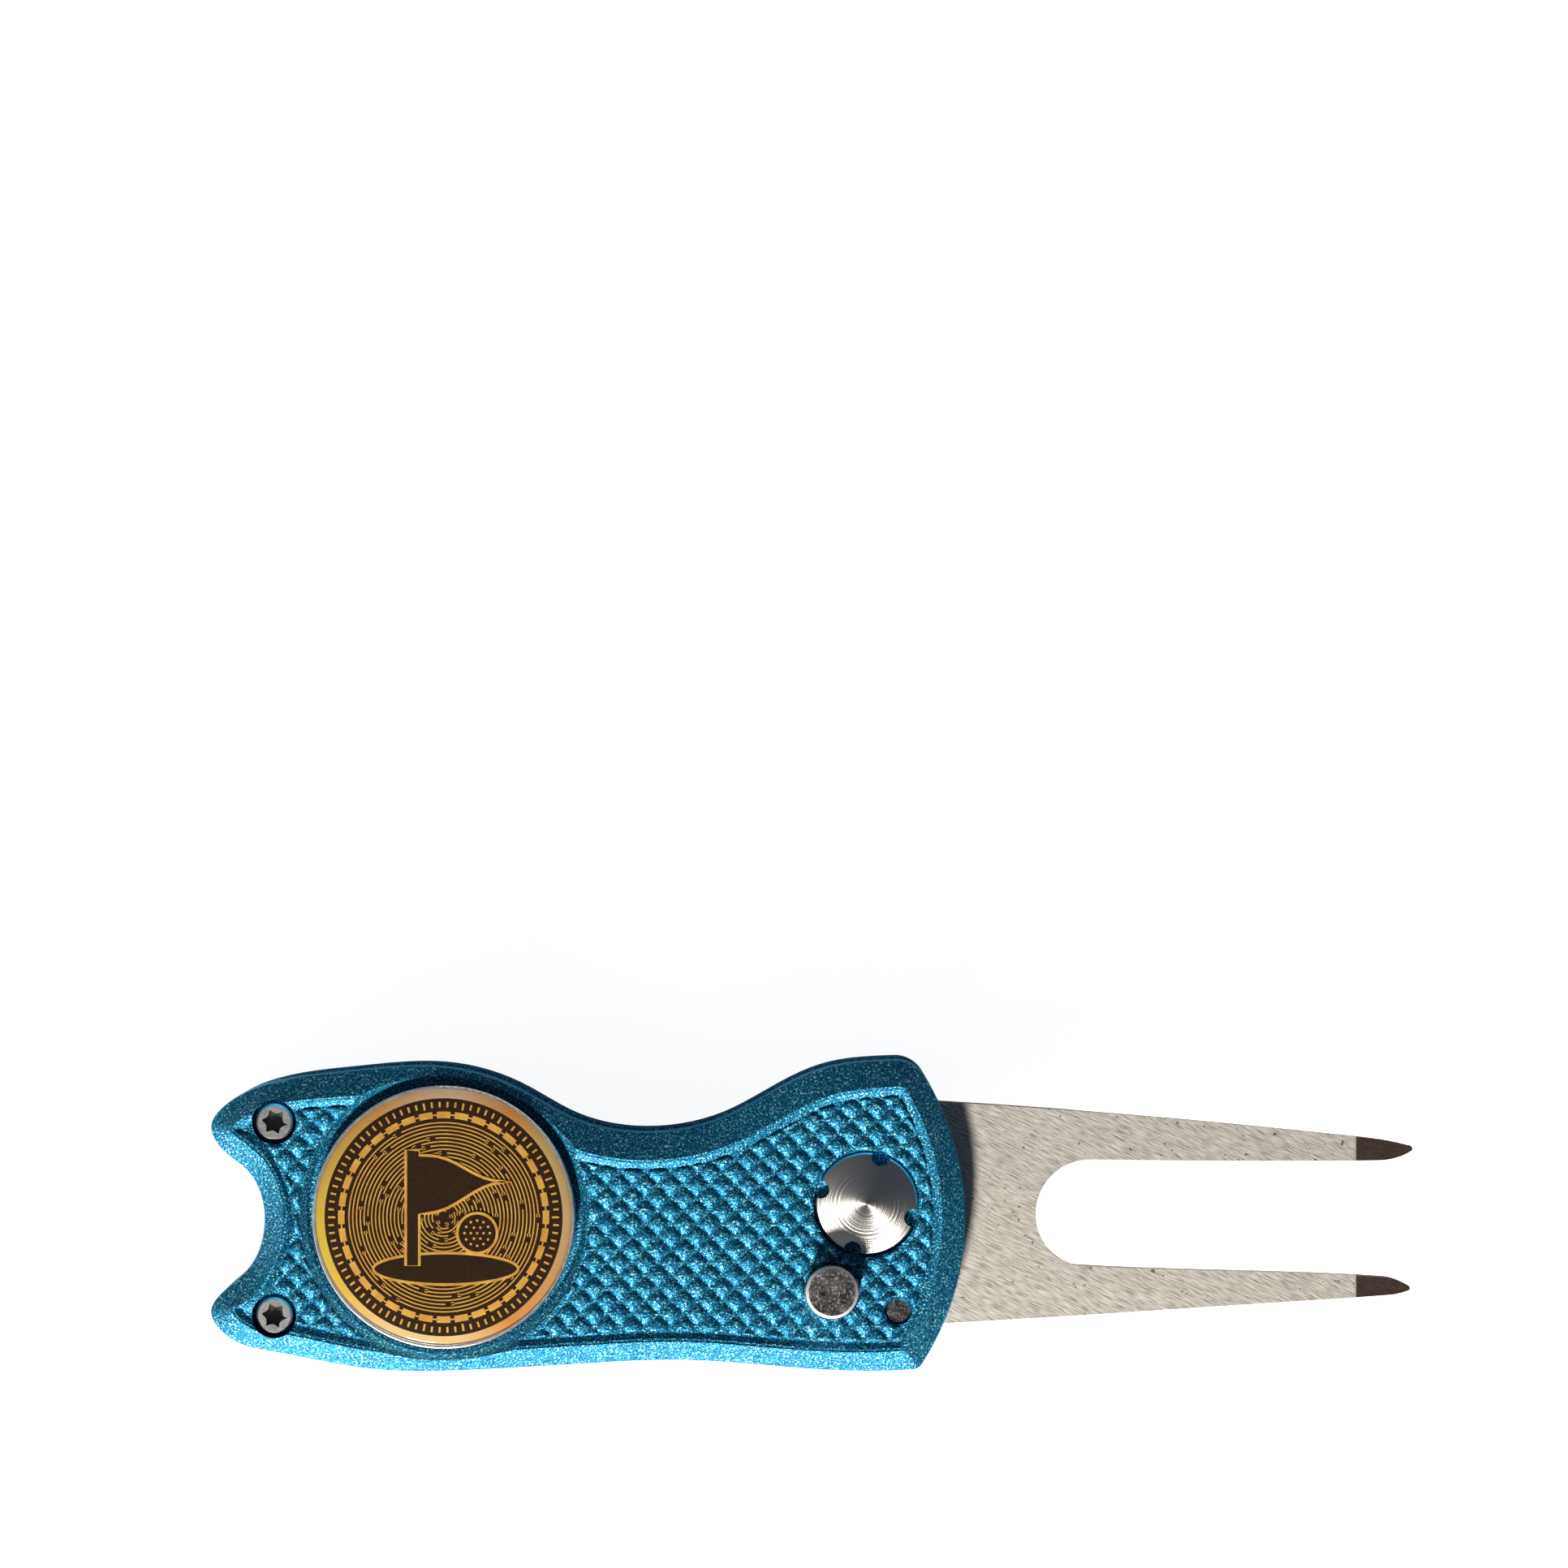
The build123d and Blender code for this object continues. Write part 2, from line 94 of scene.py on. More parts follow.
def make_world():
    """A dim room overhead that turns white low down on the left."""
    world = bpy.data.worlds.new("studio")
    bpy.context.scene.world = world
    world.use_nodes = True
    nodes, links = world.node_tree.nodes, world.node_tree.links
    background = nodes["Background"]
    coords = nodes.new("ShaderNodeTexCoord")
    toward_glow = nodes.new("ShaderNodeVectorMath")
    toward_glow.operation = "DOT_PRODUCT"
    toward_glow.inputs[1].default_value = GLOW_DIRECTION
    ramp = nodes.new("ShaderNodeValToRGB")
    spread = nodes.new("ShaderNodeMapRange")
    spread.inputs["From Min"].default_value = -1.0
    spread.inputs["From Max"].default_value = 1.0
    ramp.color_ramp.interpolation = "EASE"
    ramp.color_ramp.elements[0].position = GLOW_START
    ramp.color_ramp.elements[0].color = ROOM_COLOUR
    ramp.color_ramp.elements[1].position = GLOW_FULL
    ramp.color_ramp.elements[1].color = GLOW_COLOUR
    links.new(coords.outputs["Generated"], toward_glow.inputs[0])
    links.new(toward_glow.outputs["Value"], spread.inputs["Value"])
    links.new(spread.outputs["Result"], ramp.inputs["Fac"])
    links.new(ramp.outputs["Color"], background.inputs["Color"])
    background.inputs["Strength"].default_value = WORLD_STRENGTH


def make_floor():
    """A white sheet: lit like paper, and bright enough to the camera to read as white."""
    mesh = bpy.data.meshes.new("floor")
    signs = [(-1, -1), (1, -1), (1, 1), (-1, 1)]
    corners = [(x * FLOOR_HALF, y * FLOOR_HALF, 0) for x, y in signs]
    mesh.from_pydata(corners, [], [(0, 1, 2, 3)])
    floor = bpy.data.objects.new("floor", mesh)
    bpy.context.scene.collection.objects.link(floor)
    material = bpy.data.materials.new("floor_white")
    material.use_nodes = True
    nodes, links = material.node_tree.nodes, material.node_tree.links
    bsdf = nodes["Principled BSDF"]
    bsdf.inputs["Base Color"].default_value = FLOOR_COLOUR
    bsdf.inputs["Roughness"].default_value = 0.9
    bsdf.inputs["Specular IOR Level"].default_value = 0.0
    bsdf.inputs["Emission Color"].default_value = (1, 1, 1, 1)
    seen = nodes.new("ShaderNodeLightPath")
    glow = nodes.new("ShaderNodeMath")
    glow.operation = "MULTIPLY"
    glow.inputs[1].default_value = FLOOR_SEEN_GLOW
    links.new(seen.outputs["Is Camera Ray"], glow.inputs[0])
    links.new(glow.outputs["Value"], bsdf.inputs["Emission Strength"])
    mesh.materials.append(material)


def make_key_light():
    """One light from the picture's lower side, small enough for clear shadows."""
    level = KEY_REACH * math.cos(KEY_ELEVATION)
    at = Vector((
        PIVOT.x + level * math.cos(KEY_AZIMUTH),
        PIVOT.y + level * math.sin(KEY_AZIMUTH),
        KEY_REACH * math.sin(KEY_ELEVATION),
    ))
    data = bpy.data.lights.new("key", "AREA")
    data.shape = "RECTANGLE"
    data.size, data.size_y = KEY_SIZE
    data.energy = KEY_POWER
    data.color = KEY_COLOUR
    light = bpy.data.objects.new("key", data)
    light.location = at
    light.rotation_mode = "QUATERNION"
    light.rotation_quaternion = (Vector(KEY_TARGET) - at).to_track_quat("-Z", "Y")
    bpy.context.scene.collection.objects.link(light)


# ---------------------------------------------------------------- materials


class Paint:
    """A node material under construction, with short ways to add what is used often."""

    def __init__(self, name, colour, metallic, roughness):
        self.material = bpy.data.materials.new(name)
        self.material.use_nodes = True
        self.nodes = self.material.node_tree.nodes
        self.links = self.material.node_tree.links
        self.bsdf = self.nodes["Principled BSDF"]
        self.bsdf.inputs["Base Color"].default_value = (*colour, 1)
        self.bsdf.inputs["Metallic"].default_value = metallic
        self.bsdf.inputs["Roughness"].default_value = roughness
        self.coords = self.nodes.new("ShaderNodeTexCoord").outputs["Object"]
        self.normal = None

    def link(self, output, target):
        self.links.new(output, target)

    def moved(self, origin=(0, 0, 0), turn=0.0, stretch=(1, 1, 1)):
        """Coordinates from another origin, turned about Z, stretched along their own axes."""
        node = self.nodes.new("ShaderNodeMapping")
        node.vector_type = "TEXTURE"
        node.inputs["Location"].default_value = origin
        node.inputs["Rotation"].default_value = (0, 0, turn)
        node.inputs["Scale"].default_value = stretch
        self.link(self.coords, node.inputs["Vector"])
        return node.outputs["Vector"]

    def split(self, vector):
        node = self.nodes.new("ShaderNodeSeparateXYZ")
        self.link(vector, node.inputs["Vector"])
        return node.outputs

    def facing_up(self, start, end):
        """1 on level faces and 0 on walls, from the true shape and not the bumps."""
        geometry = self.nodes.new("ShaderNodeNewGeometry")
        upright = self.maths("ABSOLUTE", self.split(geometry.outputs["True Normal"])["Z"])
        return self.step(upright, start, end)

    def radius(self, centre):
        """Distance from an upright axis."""
        parts = self.split(self.moved(origin=(centre.x, centre.y, 0)))
        square = [self.maths("POWER", parts[axis], 2.0) for axis in ("X", "Y")]
        return self.maths("SQRT", self.maths("ADD", *square))

    def noise(self, scale, detail=2.0, rough=0.5, vector=None):
        node = self.nodes.new("ShaderNodeTexNoise")
        node.inputs["Scale"].default_value = scale
        node.inputs["Detail"].default_value = detail
        node.inputs["Roughness"].default_value = rough
        self.link(vector or self.coords, node.inputs["Vector"])
        return node.outputs["Fac"]

    def ramp(self, value, stops):
        node = self.nodes.new("ShaderNodeValToRGB")
        ramp = node.color_ramp
        while len(ramp.elements) < len(stops):
            ramp.elements.new(0.5)
        for element, (place, colour) in zip(ramp.elements, stops):
            element.position = place
            element.color = (*colour, 1)
        self.link(value, node.inputs["Fac"])
        return node.outputs["Color"]

    def spread(self, value, low, high):
        node = self.nodes.new("ShaderNodeMapRange")
        node.inputs["To Min"].default_value = low
        node.inputs["To Max"].default_value = high
        self.link(value, node.inputs["Value"])
        return node.outputs["Result"]

    def step(self, value, start, end):
        """0 below start, 1 above end, and smooth between them."""
        node = self.nodes.new("ShaderNodeMapRange")
        node.interpolation_type = "SMOOTHSTEP"
        node.inputs["From Min"].default_value = start
        node.inputs["From Max"].default_value = end
        self.link(value, node.inputs["Value"])
        return node.outputs["Result"]

    def maths(self, operation, first, second=None):
        node = self.nodes.new("ShaderNodeMath")
        node.operation = operation
        for socket, value in zip(node.inputs, (first, second)):
            if isinstance(value, (int, float)):
                socket.default_value = value
            elif value is not None:
                self.link(value, socket)
        return node.outputs["Value"]

    def mix(self, factor, first, second):
        node = self.nodes.new("ShaderNodeMix")
        node.data_type = "RGBA"
        for name, value in (("A", first), ("B", second)):
            socket = next(s for s in node.inputs if s.name == name and s.type == "RGBA")
            if isinstance(value, tuple):
                socket.default_value = (*value, 1)
            else:
                self.link(value, socket)
        self.link(factor, node.inputs[0])
        return next(s for s in node.outputs if s.type == "RGBA")

    def bump(self, height, depth, strength=1.0, share=None):
        node = self.nodes.new("ShaderNodeBump")
        node.inputs["Distance"].default_value = depth
        node.inputs["Strength"].default_value = strength
        if share is not None:
            self.link(share, node.inputs["Strength"])
        self.link(height, node.inputs["Height"])
        if self.normal is not None:
            self.link(self.normal, node.inputs["Normal"])
        self.normal = node.outputs["Normal"]
        self.link(self.normal, self.bsdf.inputs["Normal"])

    def drive(self, socket, value):
        self.link(value, self.bsdf.inputs[socket])


def blue_alloy():
    """Transparent blue over metal: blasted and sparkling faces, satin walls."""
    paint = Paint("blue_alloy", (0.005, 0.2, 0.36), 0.72, 0.45)
    grain = paint.noise(5200, 1.5, 0.6)
    tone = paint.ramp(
        grain,
        [
            (0.34, (0.0, 0.036, 0.105)),
            (0.50, (0.0, 0.148, 0.295)),
            (0.60, (0.02, 0.31, 0.41)),
            (0.69, (0.50, 0.84, 0.84)),
        ],
    )
    drift = paint.noise(160, 3.0)
    cloud = paint.ramp(drift, [(0.3, (0.0, 0.19, 0.38)), (0.7, (0.002, 0.25, 0.46))])
    blasted = paint.facing_up(0.45, 0.66)
    share = paint.maths("MULTIPLY", blasted, paint.spread(grain, 0.75, 1.0))
    paint.drive("Base Color", paint.mix(share, cloud, tone))
    paint.drive("Roughness", paint.spread(grain, 0.40, 0.54))
    paint.bump(paint.noise(1500, 2.0), 0.05 * MM, 0.35)
    paint.bump(grain, 0.11 * MM, 1.0, paint.spread(blasted, 0.12, 1.0))
    paint.bsdf.inputs["Coat Weight"].default_value = 0.15
    paint.bsdf.inputs["Coat Roughness"].default_value = 0.3
    paint.link(paint.normal, paint.bsdf.inputs["Coat Normal"])
    return paint.material


GRIND_TURN = math.radians(-27)
TIP_BEVEL = 5.45 * MM
TIP_FRAY = 0.15 * MM
TIP_SOFT = 0.05 * MM


def fork_steel():
    """Flat ground steel with slanting grinding marks, and painted shade that makes the ground
    tip bevels darker and browner.
    """
    paint = Paint("fork_steel", (0.62, 0.58, 0.52), 1.0, 0.45)
    along = paint.moved(turn=GRIND_TURN, stretch=(14, 1, 1))
    marks = paint.noise(9500, 3.0, 0.6, along)
    coarse = paint.noise(4200, 3.0, 0.6, along)
    blotch = paint.noise(260, 3.0)
    tone = paint.ramp(
        marks,
        [
            (0.32, (0.34, 0.30, 0.25)),
            (0.45, (0.72, 0.66, 0.56)),
            (0.58, (1.0, 0.95, 0.85)),
        ],
    )
    dull = paint.ramp(blotch, [(0.35, (0.58, 0.53, 0.46)), (0.65, (0.76, 0.70, 0.61))])
    face = paint.mix(paint.spread(coarse, 0.0, 0.5), tone, dull)
    pits = paint.noise(1900, 1.0)
    face = paint.mix(paint.step(pits, 0.72, 0.77), face, (0.20, 0.16, 0.13))
    flat = paint.facing_up(0.2, 0.5)
    sheared = paint.noise(3000, 3.0, 0.6, paint.moved(stretch=(1, 1, 12)))
    wall = paint.ramp(sheared, [(0.35, (0.40, 0.37, 0.33)), (0.65, (0.58, 0.54, 0.48))])
    face = paint.mix(flat, wall, face)
    bevel_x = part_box("fork")[1].x - TIP_BEVEL
    fray = paint.spread(marks, -TIP_FRAY, TIP_FRAY)
    frayed = paint.maths("ADD", paint.split(paint.coords)["X"], fray)
    tip = paint.step(frayed, bevel_x - TIP_SOFT, bevel_x + TIP_SOFT)
    # Painted shade: from the start of the tip bevel on, the colour turns dark brown, standing
    # in for the bevel tilted away from the light.
    painted_tip_shade = paint.ramp(marks, [(0.3, (0.085, 0.058, 0.046)), (0.7, (0.16, 0.11, 0.088))])
    paint.drive("Base Color", paint.mix(tip, face, painted_tip_shade))
    paint.drive("Roughness", paint.spread(marks, 0.44, 0.60))
    paint.bump(coarse, 0.015 * MM, 0.5, paint.spread(flat, 0.1, 0.35))
    paint.bump(marks, 0.015 * MM, 0.7, paint.spread(flat, 0.1, 0.7))
    return paint.material


def turned_steel(centre, colour, roughness):
    """Steel turned on a lathe: fine rings round an upright axis."""
    paint = Paint("turned_steel", colour, 1.0, roughness)
    rings = paint.nodes.new("ShaderNodeTexNoise")
    rings.noise_dimensions = "1D"
    rings.inputs["Scale"].default_value = 5000
    rings.inputs["Detail"].default_value = 3.0
    paint.link(paint.radius(centre), rings.inputs["W"])
    grooves = rings.outputs["Fac"]
    paint.drive("Roughness", paint.spread(grooves, roughness - 0.08, roughness + 0.1))
    paint.bump(grooves, 0.03 * MM, 0.6)
    paint.bump(paint.noise(3000, 3.0), 0.01 * MM, 0.4)
    paint.bsdf.inputs["Anisotropic"].default_value = 0.8
    tangent = paint.nodes.new("ShaderNodeTangent")
    tangent.direction_type = "RADIAL"
    tangent.axis = "Z"
    paint.link(tangent.outputs["Tangent"], paint.bsdf.inputs["Tangent"])
    return paint.material


FINE_GRAIN = 2500


def plain_metal(name, colour, roughness):
    paint = Paint(name, colour, 1.0, roughness)
    fine = paint.noise(FINE_GRAIN, 3.0)
    paint.drive("Roughness", paint.spread(fine, roughness * 0.75, roughness * 1.3))
    paint.bump(fine, 0.012 * MM, 0.5)
    return paint.material


SOCKET_SHADE_FULL_DEPTH = 0.55 * MM
SOCKET_SHADE_END_DEPTH = 0.12 * MM


def screw_steel(head_top):
    """Satin screw steel, with painted shade darkening the inside of the sockets."""
    paint = Paint("screw_steel", (0.60, 0.56, 0.52), 1.0, 0.34)
    fine = paint.noise(FINE_GRAIN, 3.0)
    height = paint.split(paint.coords)["Z"]
    # Painted shade: everything more than a little below the head's top, the socket insides
    # included, gets a dark grey colour.
    above_socket_shade = paint.step(height, head_top - SOCKET_SHADE_FULL_DEPTH, head_top - SOCKET_SHADE_END_DEPTH)
    paint.drive("Base Color", paint.mix(above_socket_shade, (0.20, 0.185, 0.17), (0.86, 0.81, 0.75)))
    paint.drive("Roughness", paint.spread(fine, 0.30, 0.46))
    paint.bump(fine, 0.012 * MM, 0.5)
    return paint.material


SIDE_BRIGHTER = 1.25
NICK_BRIGHTER = 2.2
CHAMFER_HIGHLIGHT_COLOUR = (0.80, 0.78, 0.75)
CHAMFER_ROUGHER = 0.25
CHAMFER_SOFT = 0.03 * MM


def worn_steel(name, dark, light, roughness, centre=None, edge=(0.0, 0.0)):
    """Bare steel whose end is smeared and nicked. Edge is where its chamfer begins, which gets
    a lighter colour as a painted highlight: the distance from the middle and the height."""
    paint = Paint(name, light, 1.0, roughness)
    patch = paint.noise(1300, 4.0, 0.7)
    nicks = paint.noise(3600, 2.0, 0.5)
    tone = paint.ramp(patch, [(0.35, dark), (0.62, light)])
    bright = tuple(min(1.0, NICK_BRIGHTER * c) for c in light)
    tone = paint.mix(paint.step(nicks, 0.56, 0.62), tone, bright)
    end = paint.facing_up(0.5, 0.8)
    side = tuple(SIDE_BRIGHTER * c for c in light)
    tone = paint.mix(end, side, tone)
    rough = paint.spread(paint.maths("MULTIPLY", patch, end), roughness * 0.8, roughness * 1.5)
    # Painted highlight: the chamfer ring at the end's edge gets a lighter colour, and a
    # rougher finish to spread it.
    if centre:
        out = paint.step(paint.radius(centre), edge[0] - CHAMFER_SOFT, edge[0] + CHAMFER_SOFT)
        height = paint.split(paint.coords)["Z"]
        high = paint.step(height, edge[1] - CHAMFER_SOFT, edge[1] + CHAMFER_SOFT)
        chamfer_highlight = paint.maths("MULTIPLY", out, high)
        tone = paint.mix(chamfer_highlight, tone, CHAMFER_HIGHLIGHT_COLOUR)
        rough = paint.maths("ADD", rough, paint.maths("MULTIPLY", chamfer_highlight, CHAMFER_ROUGHER))
    paint.drive("Base Color", tone)
    paint.drive("Roughness", rough)
    paint.bump(patch, 0.02 * MM, 0.5, paint.spread(end, 0.1, 0.5))
    paint.bump(nicks, 0.02 * MM, 0.6, paint.spread(end, 0.1, 0.6))
    return paint.material


def plastic_dark_as_shade():
    # Near-black washers: dark partly as their own plastic and partly as painted shade in the
    # gap under the tang.
    paint = Paint("washer_plastic", (0.02, 0.02, 0.023), 0.0, 0.55)
    paint.bump(paint.noise(3500, 3.0), 0.015 * MM, 0.4)
    return paint.material


def print_brown(name="print_brown"):
    """The marker's printed ground: dark brown with a fine speckle."""
    paint = Paint(name, (0.030, 0.015, 0.006), 0.0, 0.45)
    paint.bsdf.inputs["Specular IOR Level"].default_value = 0.15
    speckle = paint.noise(5200, 2.0)
    tone = paint.ramp(speckle, [(0.35, (0.022, 0.011, 0.004)), (0.7, (0.038, 0.020, 0.008))])
    paint.drive("Base Color", tone)
    return paint.material


def print_gold():
    """The gold print of the face's lines and signs."""
    paint = Paint("print_gold", (0.80, 0.42, 0.06), 0.2, 0.4)
    mottle = paint.noise(900, 3.0)
    tone = paint.ramp(mottle, [(0.3, (0.64, 0.33, 0.055)), (0.7, (0.88, 0.50, 0.11))])
    paint.drive("Base Color", tone)
    paint.bump(paint.noise(5000, 2.0), 0.006 * MM, 0.4)
    return paint.material


# The pale cream stops paint the rim's glare at a fixed angle; the orange and green-gold stops
# are the foil's own hue drift.
RIM_HUES_AND_GLARE = [
    (0.0, (0.86, 0.64, 0.07)),
    (0.10, (0.88, 0.58, 0.08)),
    (0.17, (0.96, 0.70, 0.34)),
    (0.27, (0.98, 0.72, 0.36)),
    (0.34, (0.80, 0.30, 0.07)),
    (0.50, (0.78, 0.56, 0.28)),
    (0.60, (0.70, 0.52, 0.20)),
    (0.66, (0.80, 0.30, 0.07)),
    (0.74, (0.80, 0.62, 0.42)),
    (0.84, (0.78, 0.40, 0.12)),
    (1.0, (0.86, 0.64, 0.07)),
]


def rim_gold():
    """Gold foil round the edge, whose hue drifts from pale through orange to green gold; its
    pale cream stretches are a painted highlight of the rim's glare.
    """
    paint = Paint("rim_gold", (0.7, 0.45, 0.13), 0.35, 0.38)
    node = paint.nodes.new("ShaderNodeTexGradient")
    node.gradient_type = "RADIAL"
    paint.link(paint.moved(origin=(MARKER.x, MARKER.y, 0)), node.inputs["Vector"])
    hue_and_glare = paint.ramp(node.outputs["Fac"], RIM_HUES_AND_GLARE)
    mottle = paint.spread(paint.noise(900, 3.0), 0.0, 0.35)
    paint.drive("Base Color", paint.mix(mottle, hue_and_glare, (0.62, 0.36, 0.08)))
    paint.bump(paint.noise(5000, 2.0), 0.006 * MM, 0.4)
    return paint.material


def clear_resin():
    """Glossy clear dome: it lets the print show and carries the reflections."""
    paint = Paint("clear_resin", (1.0, 0.98, 0.93), 0.0, 0.04)
    output = paint.nodes["Material Output"]
    clear = paint.nodes.new("ShaderNodeBsdfTransparent")
    clear.inputs["Color"].default_value = (1.0, 0.99, 0.96, 1)
    weight = paint.nodes.new("ShaderNodeLayerWeight")
    share = paint.maths("POWER", paint.step(weight.outputs["Facing"], 0.01, 1.0), 1.3)
    gloss = paint.nodes.new("ShaderNodeBsdfGlossy")
    gloss.inputs["Roughness"].default_value = 0.06
    mix = paint.nodes.new("ShaderNodeMixShader")
    paint.link(share, mix.inputs["Fac"])
    paint.link(clear.outputs["BSDF"], mix.inputs[1])
    paint.link(gloss.outputs["BSDF"], mix.inputs[2])
    paint.link(mix.outputs["Shader"], output.inputs["Surface"])
    return paint.material


def dress(material, *nodes):
    for name in nodes:
        node = NODES[name]
        if not node.material_slots:
            node.data.materials.append(material)
        for slot in node.material_slots:
            slot.material = material


# ---------------------------------------------------------------- mesh helpers


def make_piece(name, mesh, material, body, smooth=True):
    piece = bpy.data.objects.new(name, mesh)
    bpy.context.scene.collection.objects.link(piece)
    mesh.materials.append(material)
    if smooth:
        for polygon in mesh.polygons:
            polygon.use_smooth = True
    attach(piece, body)


# ---------------------------------------------------------------- knurl

PITCH = 1.225 * MM
KNURL_ANCHOR = (PIVOT.x - 24.71 * MM, PIVOT.y + 0.57 * MM)
BUMP_HALF = 0.84 * MM
BUMP_TOP = 0.38 * MM
BUMP_HEIGHT = 0.30 * MM
BUMP_SQUARENESS = 4.0
BUMP_ROOT = 0.08 * MM
BUMP_SINK = 0.01 * MM
PROBE_REACH = BUMP_HALF * 0.55
FIELD_GRID = 0.02 * MM
FIELD_TOLERANCE = 0.03 * MM
FIELD_NORMAL = 0.999
RAY_START = 0.05
EDGE_REACHES = (0.12 * MM, 0.25 * MM)
EDGE_DIRECTIONS = 8
EDGE_CURVE = 0.7


def bump_height(u, v):
    """Height of a knurl bump over its square base: a blunt pyramid with a flat top."""
    reach = (abs(u) ** BUMP_SQUARENESS + abs(v) ** BUMP_SQUARENESS) ** (1 / BUMP_SQUARENESS)
    share = (BUMP_HALF - reach) / (BUMP_HALF - BUMP_TOP)
    return BUMP_HEIGHT * max(0.0, min(1.0, share))


def bump_cells(kept, cells):
    """Cells of a bump that stand on the field, without any that only touch at a corner."""
    chosen = {
        (i, j)
        for i in range(cells)
        for j in range(cells)
        if kept[i, j] and kept[i + 1, j] and kept[i, j + 1] and kept[i + 1, j + 1]
    }
    changed = True
    while changed:
        changed = False
        for i in range(1, cells):
            for j in range(1, cells):
                around = [(i - 1, j - 1), (i, j - 1), (i, j), (i - 1, j)]
                here = [cell in chosen for cell in around]
                if here in ([True, False, True, False], [False, True, False, True]):
                    chosen -= {around[here.index(True)]}
                    changed = True
    return chosen


def add_bump(mesh, at, up, field, cells):
    """One closed bump with its corners along X and Y, cut off where the field ends."""
    turn = math.sqrt(0.5)
    places, kept, heights = {}, {}, {}
    for i in range(cells + 1):
        for j in range(cells + 1):
            u = (2 * i / cells - 1) * BUMP_HALF
            v = (2 * j / cells - 1) * BUMP_HALF
            x, y = at[0] + turn * (u - v), at[1] + turn * (u + v)
            room = field.room(x, y)
            places[i, j] = (x, y)
            kept[i, j] = room > 0
            heights[i, j] = bump_height(u, v) * room - BUMP_SINK
    chosen = bump_cells(kept, cells)
    top, base = {}, {}
    for i, j in sorted(chosen):
        for corner in ((i, j), (i + 1, j), (i + 1, j + 1), (i, j + 1)):
            if corner not in top:
                x, y = places[corner]
                top[corner] = mesh.verts.new((x, y, at[2] + up * heights[corner]))
                base[corner] = mesh.verts.new((x, y, at[2] - up * BUMP_ROOT))
    for i, j in sorted(chosen):
        ring = [(i, j), (i + 1, j), (i + 1, j + 1), (i, j + 1)]
        mesh.faces.new([top[corner] for corner in ring])
        mesh.faces.new([base[corner] for corner in reversed(ring)])
        beyond = [(i, j - 1), (i + 1, j), (i, j + 1), (i - 1, j)]
        for side, cell in enumerate(beyond):
            if cell not in chosen:
                a, b = ring[side], ring[(side + 1) % 4]
                mesh.faces.new([base[a], base[b], top[b], top[a]])


class Field:
    """The flat sunk field of a scale, found by looking straight at it from outside."""

    def __init__(self, node, z, up):
        self.tree = BVHTree.FromObject(NODES[node], bpy.context.evaluated_depsgraph_get())
        self.z, self.up = z, up
        self.seen = {}

    def is_flat(self, x, y):
        key = (round(x / FIELD_GRID), round(y / FIELD_GRID))
        if key not in self.seen:
            start = Vector((x, y, self.z + self.up * RAY_START))
            hit, normal = self.tree.ray_cast(start, Vector((0, 0, -self.up)))[:2]
            level = hit is not None and abs(normal.z) > FIELD_NORMAL
            self.seen[key] = level and abs(hit.z - self.z) < FIELD_TOLERANCE
        return self.seen[key]

    def room(self, x, y):
        """0 off the field or at its edge, 1 well inside it."""
        if not self.is_flat(x, y):
            return 0.0
        flat = 0
        for reach in EDGE_REACHES:
            for k in range(EDGE_DIRECTIONS):
                angle = math.tau * k / EDGE_DIRECTIONS
                flat += self.is_flat(x + reach * math.cos(angle), y + reach * math.sin(angle))
        share = (flat / (EDGE_DIRECTIONS * len(EDGE_REACHES)) - 0.5) * 2
        return max(0.0, min(1.0, share)) ** EDGE_CURVE


def make_knurl(name, node, field_z, up, cells):
    """Bumps in a diamond pattern wherever the scale's flat field has room for them."""
    field = Field(node, field_z, up)
    low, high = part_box(node)
    mesh = bmesh.new()
    rows = int((high.y - low.y) / PITCH) + 2
    columns = int((high.x - low.x) / PITCH) + 2
    for row in range(-rows, rows):
        for column in range(-columns, columns):
            if (row + column) % 2:
                continue
            x, y = KNURL_ANCHOR[0] + column * PITCH, KNURL_ANCHOR[1] + row * PITCH
            steps = [(0, 0), (1, 0), (-1, 0), (0, 1), (0, -1)]
            if any(field.is_flat(x + i * PROBE_REACH, y + j * PROBE_REACH) for i, j in steps):
                add_bump(mesh, (x, y, field_z), up, field, cells)
    bmesh.ops.recalc_face_normals(mesh, faces=mesh.faces)
    data = bpy.data.meshes.new(name)
    mesh.to_mesh(data)
    mesh.free()
    make_piece(name, data, BLUE, "handle")


# ---------------------------------------------------------------- printed marker face

# Names that end in _MM hold millimetres. The other lengths are in metres.
PRINT_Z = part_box("marker_print")[1].z
INK = 0.03 * MM
RIM_SIDES = 128
GROUND_RADIUS = 12.1 * MM
RIM_RADIUS, RIM_WIDTH = 11.76 * MM, 0.88 * MM
ARC_STEP = math.radians(3)

DASHES = 36
DASH_RADIUS, DASH_WIDTH = 9.74 * MM, 0.62 * MM
DASH_TURN, DASH_HALF = math.tau / DASHES, math.radians(3.8)
DASH_LINK_WIDTH = 0.14 * MM

TICKS, TICKS_PER_LONG = 90, 5
TICK_START, LONG_TICK_START, TICK_END = 10.45 * MM, 10.3 * MM, 10.98 * MM
TICK_WIDTH = 0.19 * MM

GOLDEN_ANGLE = 137.5
SWIRL_RINGS = 24
SWIRL_OUTER_MM, SWIRL_STEP_MM = 9.0, 0.36
SWIRL_GAP = 0.55 * MM
SWIRL_WIDTH = 0.125 * MM
SWIRL_HEAD, SWIRL_HEAD_WIDTH = 0.3 * MM, 0.32 * MM

